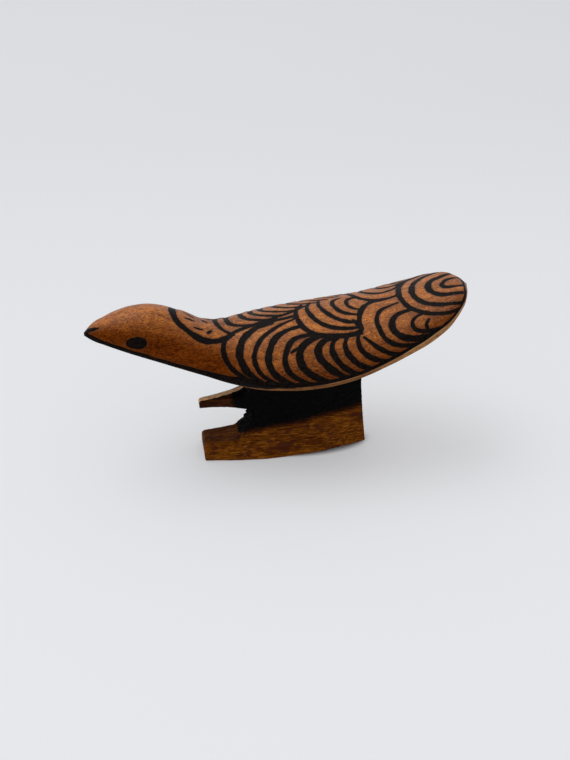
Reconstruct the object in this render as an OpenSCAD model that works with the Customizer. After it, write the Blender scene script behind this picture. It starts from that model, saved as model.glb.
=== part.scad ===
// Bird-shaped wooden vessel flute (ocarina) on a carved notched pedestal.
// Millimetres, +Z up. Origin: centre of the bounding box on the resting plane.
// The head points to -X and the tail, which holds the mouthpiece, to +X.

/* [Body] */
// Overall length from beak tip to tail tip
body_len = 200; // [180:2:220]
// Widest part of the bird across Y
body_wide = 67; // [62:1:74]
// Height factor of the carved back above the seam
crown = 1.0; // [0.95:0.05:1.15]
// Wall left around the sound chamber
wall = 6; // [5.5:0.5:7]
// Depth factor of the belly below the seam
belly_depth = 1.0; // [1.0:0.05:1.2]

/* [Voicing] */
// Width of the windway and of the window
window_w = 11; // [9:0.5:11]
// Distance from the windway mouth to the labium edge
window_len = 5.5; // [5:0.5:6.5]
// Height of the windway slot
windway_h = 1.5; // [1.2:0.1:1.6]
// Width of the windway block and of the labium insert
block_w = 13; // [12.5:0.5:13.5]

/* [Finger holes] */
// Diameter of the two front finger holes
front_hole_d = 6; // [5:0.5:7]
// Diameter of the two rear finger holes
rear_hole_d = 7; // [6:0.5:8]

/* [Pedestal] */
// Height of the belly above the resting plane
stand_h = 49; // [48:0.5:53]
// Width of the foot across Y
foot_wide = 29; // [27:1:33]
// Thickness factor of the web between foot and belly
web = 1.0; // [0.9:0.05:1.2]
// Clear height of the notch
notch_h = 18; // [16:0.5:18.5]

/* [Joinery] */
// Diameter of the pegs across the seam
peg_d = 3; // [2.5:0.5:3.5]
// Diameter of the dowels between pedestal and belly
dowel_d = 6; // [5:0.5:7]
// Length of the dowels
dowel_len = 20; // [16:1:22]

/* [Hidden] */
sx = body_len / 200;
sy = body_wide / 67;
fy = foot_wide / 29;
lift = stand_h - 49;
plate_x0 = -24;
chamber_a = -20;
chamber_b = 80;
mouth_x = 71;
block_up = 2;
block_dn = 3.6;
jet_dn = 1.6;
labium_len = 13;
nt = 24;
nb = 16;

// Stations of the bird: x, half width, seam height, crown height, belly depth
ST = [
    [-100, 0.8, 77.4, 0.7, 1],
    [-98.5, 3, 78, 1.6, 2.3],
    [-96, 5.5, 78.1, 3.7, 3.6],
    [-90, 9, 77.3, 7.7, 4.8],
    [-78, 14, 74.9, 14.5, 6.5],
    [-64, 17, 70.8, 19, 7.5],
    [-50, 18.5, 65.4, 19.4, 7.6],
    [-40, 20, 61.6, 17.6, 7.3],
    [-30, 23, 58.3, 19, 6.8],
    [-15, 29, 55.9, 23.5, 6.2],
    [0, 32, 55.2, 26.2, 6],
    [20, 33.5, 56.3, 27.2, 6.2],
    [36, 33.2, 59.6, 25.2, 6.5],
    [50, 33, 65.4, 20.2, 7],
    [62, 32.2, 71.4, 15.5, 8.2],
    [75, 29.5, 77.9, 11.2, 9.6],
    [86, 25, 84.1, 7.6, 9],
    [92, 19.4, 87.8, 5.2, 7.6],
    [96, 13.4, 89.5, 3.4, 6.4],
    [98.5, 6.8, 89.8, 2, 5.6],
    [100, 1, 89.6, 1.2, 5]
];

// Stations of the pedestal: x, flat half width, foot half width, foot edge height, web half width
PT = [
    [-44, 8.5, 10.8, 0.5, 2.1],
    [-36, 9.5, 11.8, 0.5, 2.8],
    [-28, 10.3, 13, 0.5, 4],
    [-20, 11, 13.9, 0.5, 6],
    [-10, 11.5, 14.5, 0.6, 8],
    [5, 11, 14.5, 0.8, 8.6],
    [20, 9.5, 12.9, 1.1, 8],
    [35, 6.8, 9.9, 1.7, 6.6],
    [48, 4, 7, 2.2, 5.2]
];

xs = concat([-100, -99.4, -98.5, -97.2, -95.6, -93.4, -90.6],
    [for (i = [0:14]) -87 + i * 4.2], [-24],
    [for (i = [1:27]) -24 + i * 4],
    [87.5, 90.5, 93, 95, 96.8, 98.2, 99.2, 100]);
xp = concat([-44, -40, -36, -32, -28], [for (i = [1:19]) -28 + i * 4]);

function seg(T, x, i = 0) = i >= len(T) - 2 || x < T[i + 1][0] ? i : seg(T, x, i + 1);
function chord(T, i, k) = (T[i + 1][k] - T[i][k]) / (T[i + 1][0] - T[i][0]);
function tangent(T, i, k) =
    i <= 0 ? chord(T, 0, k) :
    i >= len(T) - 1 ? chord(T, len(T) - 2, k) :
    (chord(T, i - 1, k) * (T[i + 1][0] - T[i][0]) + chord(T, i, k) * (T[i][0] - T[i - 1][0]))
        / (T[i + 1][0] - T[i - 1][0]);
function blend(T, x, k) =
    let (i = seg(T, x), h = T[i + 1][0] - T[i][0], t = (x - T[i][0]) / h)
    T[i][k] * (2 * t * t * t - 3 * t * t + 1) + h * tangent(T, i, k) * (t * t * t - 2 * t * t + t)
    + T[i + 1][k] * (3 * t * t - 2 * t * t * t) + h * tangent(T, i + 1, k) * (t * t * t - t * t);

function bw(x) = sy * blend(ST, x, 1);
function bs(x) = lift + blend(ST, x, 2);
function bh(x) = crown * blend(ST, x, 3);
function bd(x) = belly_depth * blend(ST, x, 4);

// Height of the belly surface under a point
function under(x, y) = bs(x) - bd(x) * pow(sin(acos(min(1, abs(y) / bw(x)))), 0.6);

// Chamber section factors
function cu(x) = sqrt(max(0, 1 - pow((x - (chamber_a + chamber_b) / 2) / ((chamber_b - chamber_a) / 2), 2)));
function cw(x) = (bw(x) - wall) * pow(cu(x), 0.6);
function ch(x) = (bh(x) - 0.85 * wall) * cu(x);
xc = [for (i = [0:28]) (chamber_a + chamber_b) / 2 - (chamber_b - chamber_a) / 2 * cos(3 + i * 174 / 28)];

function upper_ring(x) = concat(
    [for (i = [0:nt]) [x * sx, -bw(x) * cos(i * 180 / nt), bs(x) + bh(x) * sin(i * 180 / nt)]]);
function lower_ring(x) = concat(
    [for (i = [0:nb]) [x * sx, bw(x) * cos(i * 180 / nb), bs(x) - bd(x) * pow(sin(i * 180 / nb), 0.6)]]);
function chamber_ring(x) = concat(
    [for (i = [0:nt]) [x * sx, -cw(x) * cos(i * 180 / nt), bs(x) + ch(x) * sin(i * 180 / nt)]],
    [[x * sx, cw(x), bs(x) - 1], [x * sx, -cw(x), bs(x) - 1]]);

function half_section(x) =
    let (wb = fy * blend(PT, x, 1), wf = fy * blend(PT, x, 2), zf = blend(PT, x, 3),
         wm = web * blend(PT, x, 4), zm = 26)
    concat([[wb, 0]],
        [for (i = [0:8]) [wm + (wf - wm) * pow(1 - i / 8, 1.6), zf + (zm - zf) * i / 8]],
        [[wm + 0.3, 36 + lift], [wm + 1.2, 44 + lift], [wm + 2.2, 58 + lift]]);
function pedestal_ring(x) =
    let (h = half_section(x), n = len(h))
    concat([for (p = h) [x, p[0], p[1]]], [for (i = [n - 1:-1:0]) [x, -h[i][0], h[i][1]]]);

// Closed loft through equal rings
module loft(rings) {
    n = len(rings[0]);
    m = len(rings);
    polyhedron(
        points = [for (r = rings) for (p = r) p],
        faces = concat(
            [for (j = [0:m - 2]) for (i = [0:n - 1])
                [j * n + i, j * n + (i + 1) % n, (j + 1) * n + i]],
            [for (j = [0:m - 2]) for (i = [0:n - 1])
                [j * n + (i + 1) % n, (j + 1) * n + (i + 1) % n, (j + 1) * n + i]],
            [[for (i = [n - 1:-1:0]) i]],
            [[for (i = [0:n - 1]) (m - 1) * n + i]]),
        convexity = 6);
}

module upper_half() loft([for (x = xs) upper_ring(x)]);
module lower_front() loft([for (x = xs) if (x <= plate_x0) lower_ring(x)]);
module lower_rear() loft([for (x = xs) if (x >= plate_x0) lower_ring(x)]);
module chamber() loft([for (x = xc) chamber_ring(x)]);

// Local frame at the inner end of the windway: +X towards the tail along the seam
module at_mouth()
    translate([mouth_x * sx, 0, bs(mouth_x)])
        rotate([0, -atan2(bs(98) - 0.6 - bs(mouth_x), (98 - mouth_x) * sx), 0])
            children();

module block_bar()
    at_mouth() translate([0, -block_w / 2, -block_dn]) cube([60, block_w, block_dn + block_up]);
module windway()
    at_mouth() translate([-2, -window_w / 2, -jet_dn - windway_h / 2]) cube([64, window_w, windway_h]);
module window()
    at_mouth() translate([-window_len - 0.5, -window_w / 2, -16]) cube([window_len + 0.5, window_w, 20]);
module labium_bed()
    at_mouth() translate([-window_len - labium_len, -block_w / 2, -16]) cube([labium_len, block_w, 20]);

peg_at = [[12, -1], [12, 1], [54, -1], [54, 1]];
function peg_y(i) = peg_at[i][1] * (bw(peg_at[i][0]) - wall / 2 - 0.1);
function peg_z(i) = under(peg_at[i][0], peg_y(i)) + 0.4;
module peg_shape(i, extra)
    translate([peg_at[i][0] * sx, peg_y(i), peg_z(i) - extra])
        cylinder(h = bs(peg_at[i][0]) + 5 - peg_z(i) + extra, d = peg_d, $fn = 32);

dowel_x = [-3, 27];
function dowel_top(i) = under(dowel_x[i], 0) + 5;
module dowel_shape(i, extra)
    translate([dowel_x[i] * sx, 0, dowel_top(i) - dowel_len - extra])
        cylinder(h = dowel_len + extra, d = dowel_d, $fn = 48);

// Side outline of the pedestal with the notch
module pedestal_outline()
    polygon([
        [-41.8, -1], [-42, 4], [-42, 7.6], [-41, 9], [-34, 9.4], [-28, 9.5],
        [-24, 9.8], [-22.4, 10.6], [-22, 12.2], [-20.2, 13.4], [-18.6, 15], [-18.4, 16.8],
        [-16.6, 18], [-17, 19.6], [-15.4, 21], [-15.8, 22.8], [-13.8, 24], [-13.6, 25.4],
        [-12.6, 9 + notch_h], [-20, 10.2 + notch_h], [-28, 10.8 + notch_h], [-36, 10.8 + notch_h],
        [-43.2, 10.4 + notch_h], [-43.5, 31.6], [-42.8, 32.8], [-36, 33.6], [-29, 34.6], [-24, 35.4],
        [-20, 36.2], [-17.8, 37.4], [-16.8, 39.6], [-16.6, 60 + lift], [42.6, 60 + lift], [44.2, 38.7], [45.8, 20], [47.4, 3], [47.4, -1]
    ]);

module carved_back()
    color([0.62, 0.36, 0.17]) difference() {
        union() { upper_half(); lower_front(); }
        chamber();
        block_bar();
        for (i = [0:3]) peg_shape(i, 1);
    }

module belly_plate()
    color([0.74, 0.52, 0.34]) difference() {
        lower_rear();
        block_bar();
        window();
        labium_bed();
        for (s = [-1, 1]) {
            translate([2 * sx, s * 17, 30]) cylinder(h = 50, d = front_hole_d, $fn = 48);
            translate([34 * sx, s * 19, 30]) cylinder(h = 50, d = rear_hole_d, $fn = 48);
        }
        for (i = [0:3]) peg_shape(i, 3);
        for (i = [0:1]) dowel_shape(i, 0);
    }

module windway_block()
    color([0.45, 0.26, 0.13]) difference() {
        intersection() {
            union() { upper_half(); lower_rear(); }
            block_bar();
        }
        windway();
    }

module labium()
    color([0.45, 0.26, 0.13]) intersection() {
        lower_rear();
        at_mouth() translate([0, block_w / 2, 0]) rotate([90, 0, 0]) linear_extrude(height = block_w)
            polygon([
                [-window_len - labium_len, -0.4], [-window_len - 3, -0.4], [-window_len, 0.15 - jet_dn],
                [-window_len, -0.15 - jet_dn], [-window_len - labium_len, -0.15 - jet_dn - 0.64 * labium_len]
            ]);
    }

module pedestal()
    color([0.33, 0.19, 0.09]) difference() {
        intersection() {
            loft([for (x = xp) pedestal_ring(x)]);
            translate([0, 40, 0]) rotate([90, 0, 0]) linear_extrude(height = 80) pedestal_outline();
        }
        lower_front();
        lower_rear();
        upper_half();
        for (i = [0:1]) dowel_shape(i, 0);
    }

module seam_peg_1() color([0.8, 0.65, 0.45]) peg_shape(0, 0);
module seam_peg_2() color([0.8, 0.65, 0.45]) peg_shape(1, 0);
module seam_peg_3() color([0.8, 0.65, 0.45]) peg_shape(2, 0);
module seam_peg_4() color([0.8, 0.65, 0.45]) peg_shape(3, 0);
module pedestal_dowel_1() color([0.8, 0.65, 0.45]) dowel_shape(0, 0);
module pedestal_dowel_2() color([0.8, 0.65, 0.45]) dowel_shape(1, 0);

carved_back();
belly_plate();
windway_block();
labium();
pedestal();
seam_peg_1();
seam_peg_2();
seam_peg_3();
seam_peg_4();
pedestal_dowel_1();
pedestal_dowel_2();
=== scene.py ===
import bpy, bmesh, math
import numpy as np
from mathutils import Vector, Matrix
from mathutils.geometry import delaunay_2d_cdt


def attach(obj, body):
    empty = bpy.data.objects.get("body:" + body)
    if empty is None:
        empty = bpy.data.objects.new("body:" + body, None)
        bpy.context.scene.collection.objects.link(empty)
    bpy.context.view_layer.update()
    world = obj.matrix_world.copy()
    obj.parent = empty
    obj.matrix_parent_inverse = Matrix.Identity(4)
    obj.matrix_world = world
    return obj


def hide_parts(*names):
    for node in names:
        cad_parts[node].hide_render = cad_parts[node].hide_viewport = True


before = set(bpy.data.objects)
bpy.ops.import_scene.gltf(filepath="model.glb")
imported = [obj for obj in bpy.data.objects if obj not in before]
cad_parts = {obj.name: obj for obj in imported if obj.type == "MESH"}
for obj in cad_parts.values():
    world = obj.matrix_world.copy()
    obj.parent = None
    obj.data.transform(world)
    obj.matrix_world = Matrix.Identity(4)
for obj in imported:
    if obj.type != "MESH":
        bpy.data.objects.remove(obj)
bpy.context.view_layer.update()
MM = 0.001

# ---------------------------------------------------------------- the design's own tables (millimetres)
ST = np.array([
    [-100, 0.8, 77.4, 0.7, 1], [-98.5, 3, 78, 1.6, 2.3], [-96, 5.5, 78.1, 3.7, 3.6], [-90, 9, 77.3, 7.7, 4.8],
    [-78, 14, 74.9, 14.5, 6.5], [-64, 17, 70.8, 19, 7.5], [-50, 18.5, 65.4, 19.4, 7.6], [-40, 20, 61.6, 17.6, 7.3],
    [-30, 23, 58.3, 19, 6.8], [-15, 29, 55.9, 23.5, 6.2], [0, 32, 55.2, 26.2, 6], [20, 33.5, 56.3, 27.2, 6.2],
    [36, 33.2, 59.6, 25.2, 6.5], [50, 33, 65.4, 20.2, 7], [62, 32.2, 71.4, 15.5, 8.2], [75, 29.5, 77.9, 11.2, 9.6],
    [86, 25, 84.1, 7.6, 9], [92, 19.4, 87.8, 5.2, 7.6], [96, 13.4, 89.5, 3.4, 6.4], [98.5, 6.8, 89.8, 2, 5.6],
    [100, 1, 89.6, 1.2, 5]], float)
PT = np.array([
    [-44, 8.5, 10.8, 0.5, 2.1], [-36, 9.5, 11.8, 0.5, 2.8], [-28, 10.3, 13, 0.5, 4], [-20, 11, 13.9, 0.5, 6],
    [-10, 11.5, 14.5, 0.6, 8], [5, 11, 14.5, 0.8, 8.6], [20, 9.5, 12.9, 1.1, 8], [35, 6.8, 9.9, 1.7, 6.6],
    [48, 4, 7, 2.2, 5.2]], float)


def blend(T, x, k):
    x = np.asarray(x, float)
    X, Y = T[:, 0], T[:, k]
    h = np.diff(X)
    d = np.diff(Y) / h
    m = np.empty(len(X))
    m[0], m[-1] = d[0], d[-1]
    m[1:-1] = (d[:-1] * h[1:] + d[1:] * h[:-1]) / (h[:-1] + h[1:])
    i = np.clip(np.searchsorted(X, x, side="right") - 1, 0, len(X) - 2)
    t = (x - X[i]) / h[i]
    return (Y[i] * (2 * t**3 - 3 * t**2 + 1) + h[i] * m[i] * (t**3 - 2 * t**2 + t)
            + Y[i + 1] * (3 * t**2 - 2 * t**3) + h[i] * m[i + 1] * (t**3 - t**2))


bw = lambda x: blend(ST, x, 1)
bs = lambda x: blend(ST, x, 2)
bh = lambda x: blend(ST, x, 3)
bd = lambda x: blend(ST, x, 4)
cu = lambda x: np.sqrt(np.maximum(0, 1 - ((np.asarray(x, float) - 30) / 50) ** 2))
cw = lambda x: (bw(x) - 6) * cu(x) ** 0.6
ch = lambda x: (bh(x) - 5.1) * cu(x)


def smooth(a, b, v):
    t = np.clip((v - a) / (b - a), 0, 1)
    return t * t * (3 - 2 * t)


def waves(P, size, seed, n=14):
    """Smooth seeded variation about zero, with features about size millimetres long."""
    r = np.random.default_rng(seed)
    out = np.zeros(len(P))
    for _ in range(n):
        k = r.normal(size=3)
        k *= (2 * math.pi / size) * r.uniform(0.6, 1.5) / np.linalg.norm(k)
        out += np.sin(P @ k + r.uniform(0, 6.283))
    return out / math.sqrt(n)


def top_point(x, t):
    """Point of the carved back at station x and section angle t in degrees, 0 at the near seam, 90 on the ridge."""
    t = np.radians(t)
    return np.stack([x, -bw(x) * np.cos(t), bs(x) + bh(x) * np.sin(t)], -1)


# ---------------------------------------------------------------- burned line work, built by rule
def spline(P, n=14):
    """Smooth path through control points."""
    P = np.asarray(P, float)
    Q = np.vstack([2 * P[0] - P[1], P, 2 * P[-1] - P[-2]])
    out = []
    for i in range(1, len(Q) - 2):
        a, b, c, d = Q[i - 1], Q[i], Q[i + 1], Q[i + 2]
        for s in np.linspace(0, 1, n, endpoint=False):
            out.append(0.5 * (2 * b + (c - a) * s + (2 * a - 5 * b + 4 * c - d) * s * s + (3 * b - a - 3 * c + d) * s**3))
    out.append(Q[-2])
    return np.array(out)


STROKES = []   # (3-D points in mm, half widths in mm)
rng = np.random.default_rng(11)


def even(C, gap=0.5, soft=1.5):
    """Path resampled at even steps and smoothed; the third column is the place along the control points."""
    m = np.array([1.0, 0.5])
    C = np.column_stack([C * m, np.linspace(0, 1, len(C))])
    L = np.concatenate([[0], np.cumsum(np.linalg.norm(np.diff(C[:, :2], axis=0), axis=1))])
    n = max(6, int(L[-1] / gap))
    u = np.linspace(0, L[-1], n)
    E = np.stack([np.interp(u, L, C[:, k]) for k in range(3)], 1)
    pad = min(n - 1, int(3 * soft / gap))
    g = np.exp(-0.5 * (np.arange(-pad, pad + 1) * gap / soft) ** 2)
    g /= g.sum()
    X = np.vstack([2 * E[0] - E[pad:0:-1], E, 2 * E[-1] - E[-2:-pad - 2:-1]])
    S = np.stack([np.convolve(X[:, k], g, "valid") for k in range(3)], 1)
    S[:, :2] /= m
    return S, u


def stroke(pts, half, mirror=False, taper=(0.62, 0.55), wob=0.05):
    S, u = even(spline(pts))
    C, k = S[:, :2], np.clip(S[:, 2], 0, 1)
    v = u / u[-1]
    if np.ndim(half) == 0:
        hw = half * (taper[0] + (1 - taper[0]) * smooth(0, 0.35, v)) * (taper[1] + (1 - taper[1]) * smooth(0, 0.3, 1 - v))
    else:
        hw = np.interp(k, np.linspace(0, 1, len(half)), half)
    for side in ((0, 1) if mirror else (0,)):
        D = C.copy()
        ph = rng.uniform(0, 6.28, 4)
        D[:, 0] += wob * (np.sin(0.55 * u + ph[0]) + 0.6 * np.sin(1.2 * u + ph[1]))
        w = hw * (1 + 0.07 * np.sin(0.5 * u + ph[2]) + 0.05 * np.sin(1.3 * u + ph[3]))
        if side:
            D[:, 1] = 180 - D[:, 1]
        D[:, 1] = np.clip(D[:, 1], 0, 180)
        STROKES.append((top_point(np.clip(D[:, 0], -99.8, 99.6), D[:, 1]), w))


def family(keys, n, half, **kw):
    """n nested arcs, blended between a few key arcs."""
    ks = [k for k, _ in keys]
    arr = np.array([p for _, p in keys], float)
    for k in range(n):
        P = np.empty(arr.shape[1:])
        for i in range(arr.shape[1]):
            for j in range(2):
                P[i, j] = np.interp(k, ks, arr[:, i, j])
        if P[-1, 1] < 10:
            P = np.vstack([P, (P[-1, 0] + 4.5, 2.4)])
        elif P[-1, 1] > 170:
            P = np.vstack([P, (P[-1, 0] + 4.5, 177.6)])
        h = half if np.ndim(half) == 0 else float(half[k]) if len(half) == n else float(np.interp(k, [0, n - 1], half))
        stroke(P, h, **kw)


# flank: crescents that open to the tail
family([
    (0, [(-24, 70), (-28, 62), (-30.4, 52), (-31, 38), (-29.5, 24), (-26, 13), (-21, 7)]),
    (1, [(-5, 75.5), (-14, 70.5), (-20.5, 58), (-23.2, 39), (-22, 24), (-19.5, 14), (-15, 7)]),
    (2, [(7, 76.5), (-4, 67.5), (-12.5, 54), (-16.2, 35), (-15, 21), (-12, 12), (-7, 6)]),
    (3, [(8.5, 65), (1.5, 62.5), (-5.5, 53), (-9.3, 33), (-8, 20), (-5, 12), (0, 6)]),
    (4, [(18, 52), (10, 54), (3, 49.5), (-1, 33), (-0.4, 21), (3, 12), (8, 6)]),
    (5, [(20, 51.5), (13, 48.5), (8, 42.5), (6.2, 33), (7.5, 22), (11.5, 13), (17, 6)]),
], 6, [1.35, 1.95, 1.3, 1.8, 1.5, 1.95])
family([
    (0, [(25, 47.5), (19.5, 45.5), (16.5, 41), (15.6, 35), (17, 27), (21, 17), (26, 8)]),
    (1, [(26.5, 46), (24.8, 45), (23.2, 41), (22.8, 35), (24.2, 27), (27.3, 17), (32, 8)]),
    (2, [(31.5, 46), (30.6, 44), (29.8, 40), (29.6, 35), (31, 27), (34.3, 17), (39, 8)]),
    (3, [(37.6, 46), (37.0, 44), (36.4, 40), (36.5, 35), (38, 27), (42, 17), (47, 8)]),
    (4, [(39.8, 41), (40.6, 39.5), (41.4, 37.5), (42.8, 34), (45, 28), (49.3, 18), (54, 8)]),
], 5, [1.95, 1.6, 1.6, 1.45, 1.3])
# small hook at the head of one crescent
stroke([(2.6, 38), (4.5, 40.5), (8, 43)], 0.9)

# rear flank: nested arcs
family([
    (0, [(61, 76), (56, 73.5), (51, 70), (48.3, 62), (47.6, 54), (48.4, 44), (50, 34), (53.5, 24), (58.5, 15), (64, 7)]),
    (1, [(68, 60.5), (62.5, 61), (58, 58.8), (55.2, 52.5), (54.5, 45), (55.8, 36), (58.6, 28), (63, 19.5), (68, 12), (73, 6)]),
    (2, [(71, 49), (68.4, 49), (66.2, 47), (64.9, 43), (64.5, 38), (65.3, 32), (66.8, 27), (69.5, 21.5), (73, 15), (77, 8)]),
], 3, [1.3, 1.75, 1.2])
stroke([(73.4, 36.5), (71.6, 33), (71.2, 28), (72.2, 21)], 1.0)
stroke([(36, 62), (38.6, 57), (39.3, 52), (38.6, 46.5)], 1.5)

# middle of the back: leaf-shaped arcs around a bright oval
family([
    (0, [(12.5, 98), (9.3, 91), (8.2, 80), (9.4, 67), (12.6, 58), (18, 51.8), (26, 48.6), (33, 47.6), (39, 49.5)]),
    (1, [(17, 101), (14.6, 90), (15, 80), (17.2, 70.5), (21.2, 62.5), (26, 57.5), (31, 55), (35, 53.8), (39, 53)]),
    (2, [(22, 101), (21, 92), (22.4, 82), (25, 74), (28.6, 67), (31.8, 63), (34.6, 61), (37, 60), (39.6, 59)]),
    (3, [(33, 101), (29.4, 98), (28, 90.5), (29.2, 81), (31.6, 75), (34, 72), (36.3, 70), (38.2, 68.8), (40.4, 68.4)]),
], 4, (1.45, 1.3))
stroke([(43.5, 96), (40.5, 98), (37.3, 96.5), (35.3, 91), (35.6, 83), (38, 77.5), (41, 75.5)], 1.15)
stroke([(38.4, 48), (39, 56), (39.4, 64), (40.6, 71), (43, 77.5), (46, 82.5), (50, 86), (57, 86.8), (63, 89.5)], 1.5)
stroke([(41.5, 97), (44.5, 92.5), (47.5, 88.5), (51, 86.5)], 1.2)

# dark ridge line where the flank families meet
stroke([(-33, 57), (-28, 65), (-22, 72.5), (-14, 76), (-6, 78), (2, 79), (7.5, 80.5)], 1.25, taper=(0.7, 0.8))
stroke([(-16, 77), (-7, 81), (1, 84.5), (7, 87.5), (12, 92), (17, 98)], 0.95)
stroke([(16, 52.5), (24, 49.2), (32, 46.8), (39, 46.2)], 1.5)

# far flank: the same idea, seen over the ridge
family([
    (0, [(-25, 66), (-29, 74), (-32, 86), (-33, 100), (-32.5, 118), (-31, 135), (-28, 155), (-22, 172)]),
    (1, [(-8, 77), (-18, 78), (-25, 86), (-27, 98), (-26.5, 118), (-25, 138), (-21, 157), (-15, 172)]),
    (2, [(-2, 80), (-10, 82.5), (-16.6, 90), (-19.3, 102), (-18.5, 120), (-17, 140), (-13, 158), (-7, 172)]),
    (4, [(8, 89), (1, 91.5), (-5, 97), (-8.5, 106), (-8, 122), (-5, 142), (0, 160), (7, 172)]),
    (6, [(21, 99), (14, 101), (9, 106), (6, 113), (6, 125), (9, 143), (14, 160), (21, 172)]),
    (9, [(39, 112), (33, 115), (29, 121), (28, 128), (29.5, 137), (33, 149), (38, 161), (46, 172)]),
], 10, (1.45, 1.25))
family([
    (0, [(63, 90), (57, 87), (50, 87.5), (45, 92.5), (41.3, 100), (39.4, 110), (38.6, 122), (41, 140), (47, 158), (56, 172)]),
    (1, [(66.5, 119), (65, 108), (61, 102.5), (56, 100.3), (51, 102), (47.4, 108), (46, 118), (47, 136), (52, 156), (62, 172)]),
    (2, [(71, 124), (66, 117.5), (62, 114), (59, 113), (56.8, 114.5), (55.6, 120), (55.6, 130), (58, 145), (63, 159), (71, 172)]),
    (3, [(76, 134), (72, 129), (69, 126), (66.5, 125), (64.6, 127), (64, 132), (64.6, 140), (67, 152), (72, 162), (79, 172)]),
], 4, (1.4, 1.2))

# tail: nested U shapes opening to the tip
family([
    (0, [(89.5, 9), (86.5, 21), (80.5, 34), (74.5, 45), (69, 56), (65.4, 66), (63.8, 76), (63.3, 86), (64, 95), (65.6, 104), (68, 114), (73, 126), (80, 138), (86, 150), (90, 168)]),
    (1, [(92, 16), (90, 28), (86, 42), (80.5, 52), (74.5, 63), (71.3, 74), (70.2, 83), (70.6, 91), (72, 100), (74.6, 110), (79, 120), (84, 128), (88, 138), (91, 150), (93, 165)]),
    (2, [(94.6, 40), (92.4, 50), (88.4, 59.5), (84, 66.5), (80.8, 74), (79.3, 81), (79, 86), (79.3, 92), (80.5, 98.5), (83.2, 104.5), (86.8, 109), (90, 113.5), (92.4, 119), (94, 126), (95, 136)]),
    (3, [(96.4, 64), (94.8, 68), (92.5, 71.5), (90, 74.5), (87.6, 78), (86.2, 81.5), (85.6, 85), (86, 88.5), (87.2, 92), (89, 95), (91, 97.6), (93, 99.4), (94.6, 101), (96, 103), (97, 106)]),
], 4, [1.5, 1.65, 1.75, 1.3])

# rim band on both sides, thin tail edge
stroke([(-30, 0.5), (-27, 1.2), (-24, 2.2), (-12, 2.6), (10, 2.0), (40, 1.9), (62, 2.2), (80, 3.0), (88, 4.5)],
       [0.8, 1.4, 1.9, 1.7, 1.25, 1.15, 1.2, 1.0, 0.9], mirror=True)
stroke([(86, 3), (91, 8), (94.4, 22), (96.4, 45), (97.4, 70), (97.7, 90)], [0.7, 0.7, 0.8, 0.8, 0.8, 0.8], mirror=True, wob=0.05)

# head: neck patch, dashes, eye, beak
stroke([(-54.8, 92), (-54.6, 80), (-53.6, 69), (-51.2, 60.5), (-48, 54.8), (-44, 51.5), (-39, 50.8), (-34.5, 54), (-30.5, 58), (-27, 64)],
       [2.0, 1.95, 1.8, 1.65, 1.6, 1.9, 2.0, 1.6, 1.5, 1.6], mirror=True)
stroke([(-48.6, 80.4), (-46.5, 82.3), (-44, 84.3)], [0.45, 0.85, 0.5], mirror=True, wob=0.03)
stroke([(-44.4, 67.8), (-42.4, 69.2), (-40.2, 70.2)], [0.5, 0.8, 0.45], mirror=True, wob=0.03)
stroke([(-39.6, 97.6), (-38.6, 95.4), (-37.6, 92.6)], [0.6, 0.9, 0.6], wob=0.03)
stroke([(-37.6, 66.6), (-37.0, 69.6), (-35.8, 72.0)], [0.85, 1.15, 0.75], mirror=True, wob=0.0)
stroke([(-77.2, 9.4), (-75.2, 11.6), (-73.2, 13.6), (-71.2, 15.4)], [2.3, 3.0, 3.1, 2.4], mirror=True, wob=0.0)
stroke([(-99.0, 8), (-98.8, 50), (-98.8, 90)], 1.3, mirror=True, wob=0.0)
stroke([(-98.4, 60), (-96.6, 52), (-94.4, 49), (-92.2, 50)], [1.3, 1.25, 1.0, 0.3], mirror=True, wob=0.0)


def line_distance(P, reach=3.5):
    """Signed distance in millimetres from each point to the burned lines, negative inside."""
    out = np.full(len(P), reach)
    for C, w in STROKES:
        lo, hi = C.min(0) - reach - 3, C.max(0) + reach + 3
        idx = np.where(((P >= lo) & (P <= hi)).all(1))[0]
        if not len(idx):
            continue
        Q = P[idx]
        best = np.full(len(Q), 1e9)
        A, B = C[:-1], C[1:]
        for a, b, wa, wb_ in zip(A, B, w[:-1], w[1:]):
            ab = b - a
            L = float(ab @ ab)
            if L < 1e-9:
                continue
            near = np.abs(Q - (a + b) / 2).max(1) < reach + 4
            if not near.any():
                continue
            q = Q[near]
            s = np.clip((q - a) @ ab / L, 0, 1)
            dd = np.linalg.norm(q - a - s[:, None] * ab, axis=1) - (wa + (wb_ - wa) * s)
            best[near] = np.minimum(best[near], dd)
        out[idx] = np.minimum(out[idx], best)
    return out


# ---------------------------------------------------------------- mesh helpers
def new_object(name, verts_mm, faces, mats=()):
    me = bpy.data.meshes.new(name)
    me.from_pydata((np.asarray(verts_mm) * MM).tolist(), [], faces)
    me.validate()
    o = bpy.data.objects.new(name, me)
    bpy.context.scene.collection.objects.link(o)
    bm = bmesh.new()
    bm.from_mesh(me)
    bmesh.ops.recalc_face_normals(bm, faces=bm.faces)
    bm.to_mesh(me)
    bm.free()
    return o


def cut(obj, cutters):
    for c in cutters:
        m = obj.modifiers.new("cut", "BOOLEAN")
        m.operation = "DIFFERENCE"
        m.solver = "EXACT"
        m.object = c
    dg = bpy.context.evaluated_depsgraph_get()
    me = bpy.data.meshes.new_from_object(obj.evaluated_get(dg))
    obj.modifiers.clear()
    old = obj.data
    obj.data = me
    bpy.data.meshes.remove(old)
    for c in cutters:
        d = c.data
        bpy.data.objects.remove(c)
        bpy.data.meshes.remove(d)
    return obj


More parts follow.
